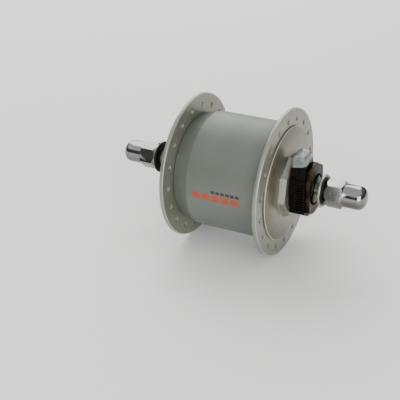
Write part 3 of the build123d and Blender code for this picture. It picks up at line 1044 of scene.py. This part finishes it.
def cap_row(inset, rise, y=None):
    """Loop of the clear cap: rise above the tower's top as a share of the side, or at height y."""
    loop = rounded_rectangle(
        TOWER_REAR + inset,
        TOWER_FORE - inset,
        TOWER_LOW + inset,
        CAP_END - inset,
        max(0.5, 2.0 - 0.8 * inset),
    )
    shoulder = CAP_TOP - CAP_ROUND
    row = []
    for x, s in loop:
        height = tower_top(s) + (shoulder - tower_top(s)) * rise if y is None else y
        row.append((x, height, s))
    return row


def pressed_out(point):
    """Round bump that a terminal presses into the upper rear edge of the vinyl."""
    x, y, s = point
    reach = dist(point, BUMP) / BUMP_R
    lift = BUMP_LIFT * max(0.0, 1.0 - reach ** 4)
    return x - lift, y + lift, s


def vinyl_cap():
    """Thin cap, open below, with a lip round its foot and a domed top."""
    ceiling = CAP_TOP - CAP_WALL
    rows = [cap_row(FLAT_INSET, 0, ceiling - 0.1), cap_row(3.4, 0, ceiling - 0.2)]
    for i in range(6):
        angle = pi / 2 * i / 5
        inset = CAP_WALL + 1.3 * (1 - sin(angle))
        rows.append(cap_row(inset, 0, ceiling - 1.5 + 1.2 * cos(angle)))
    for i in range(1, 13):
        rows.append(cap_row(CAP_WALL, 1 - i / 12))
    rows.append(cap_row(-0.35, 0.0))
    rows.append(cap_row(-0.35, 0.10))
    rows.append(cap_row(-0.1, 0.16))
    for i in range(1, 18):
        rows.append([pressed_out(p) for p in cap_row(0.0, 0.16 + 0.84 * i / 17)])
    for i in range(1, 9):
        angle = pi / 2 * i / 8
        inset = CAP_ROUND * (1 - cos(angle))
        y = CAP_TOP - CAP_ROUND + (CAP_ROUND - 0.3) * sin(angle)
        rows.append([pressed_out(p) for p in cap_row(inset, 1.0, y)])
    rows.append(cap_row(3.0, 0, CAP_TOP - 0.15))
    rows.append(cap_row(FLAT_INSET, 0, CAP_TOP))
    return skin(rows, "capped")


vinyl = mesh_piece("vinyl_cap", vinyl_cap(), at_axle)
settle(vinyl, CLEAR_VINYL, "terminal_cap", "clear_plastic", "terminal_cap", sharp=60)


# ---- pieces that keep their CAD shape ----------------------------------------------------------

CAD_LOOKS = (
    (IRON, ("magnet_yoke", "stator_sleeve", "right_claw_plate", "left_claw_plate")),
    (FERRITE, ("magnet_segments",)),
    (GROUND_STEEL, ("right_cup", "left_cup", "right_cone", "left_cone")),
    (GROUND_STEEL, ("right_ball_retainer", "left_ball_retainer")),
    (CHROME, ("right_balls", "left_balls")),
    (RUBBER, ("right_seal", "left_seal")),
    (NYLON, ("coil_bobbin",)),
    (COPPER, ("coil_winding",)),
    (ZINC, ("stator_nut",)),
    (WIRE_JACKET, ("lead_wire",)),
    (TIN, ("ground_washer", "live_terminal", "ground_terminal")),
)
for look, names in CAD_LOOKS:
    for name in names:
        for slot in nodes[name].material_slots:
            slot.material = look


# ---- floor, light and camera -------------------------------------------------------------------

def floor():
    """Plain pale floor, just under the flanges."""
    look = Look("floor", (0.92, 0.92, 0.91), roughness=0.75)
    look.tint(look.noise(look.stretched(0.004, 0.004, 0.004), detail=3), (0.90, 0.90, 0.89), 0.5)
    mesh = bpy.data.meshes.new("floor")
    half = 6.0
    low = -FLANGE_R * MM - 0.0002
    corners = ((-half, -half), (half, -half), (half, half), (-half, half))
    mesh.from_pydata([(x, y, low) for x, y in corners], [], [(0, 1, 2, 3)])
    mesh.materials.append(look.material)
    plane = bpy.data.objects.new("floor", mesh)
    bpy.context.scene.collection.objects.link(plane)


def soft_light(name, place, target, size, power):
    """Large square lamp that faces the target."""
    lamp = bpy.data.lights.new(name, "AREA")
    lamp.size = size
    lamp.energy = power
    holder = bpy.data.objects.new(name, lamp)
    holder.location = place
    holder.rotation_euler = (Vector(target) - Vector(place)).to_track_quat("-Z", "Y").to_euler()
    bpy.context.scene.collection.objects.link(holder)


def surroundings():
    """Soft grey room: dim low down, lighter above the horizon and dim again overhead."""
    world = bpy.data.worlds.new("studio")
    world.use_nodes = True
    tree = world.node_tree
    back = tree.nodes["Background"]
    where = tree.nodes.new("ShaderNodeTexCoord")
    split = tree.nodes.new("ShaderNodeSeparateXYZ")
    ramp = tree.nodes.new("ShaderNodeValToRGB")
    tree.links.new(where.outputs["Generated"], split.inputs[0])
    tree.links.new(split.outputs["Z"], ramp.inputs[0])
    tree.links.new(ramp.outputs[0], back.inputs["Color"])
    stops = ramp.color_ramp.elements
    stops[0].position = 0.0
    stops[0].color = (0.16, 0.16, 0.15, 1)
    stops[1].position = 1.0
    stops[1].color = (0.20, 0.205, 0.20, 1)
    for height, shade in ((0.3, 0.12), (0.6, 0.36)):
        stop = stops.new(height)
        stop.color = (shade, shade, 0.97 * shade, 1)
    bpy.context.scene.world = world


def camera():
    """Camera behind the hub on the connector's side, looking down at it."""
    ahead = Vector((0.7946206, 0.4167348, -0.4414864))
    right = Vector((0.4644485, -0.8856001, 0.0))
    up = right.cross(ahead)
    lens = bpy.data.cameras.new("camera")
    lens.lens = 73.65
    lens.sensor_width = 36.0
    lens.clip_start = 0.01
    holder = bpy.data.objects.new("camera", lens)
    turn = Matrix((right, up, -ahead)).transposed().to_4x4()
    holder.matrix_world = Matrix.Translation((-0.4149968, -0.1903641, 0.2059037)) @ turn
    bpy.context.scene.collection.objects.link(holder)
    bpy.context.scene.camera = holder


floor()
surroundings()
soft_light("key", (0.95, 0.70, 0.95), (0, 0, 0), 1.5, 26)
soft_light("fill", (-1.1, -0.7, 0.30), (0, 0, 0), 1.2, 25)
soft_light("top", (-0.3, 0.3, 1.5), (0, 0, 0), 3.2, 27)
camera()
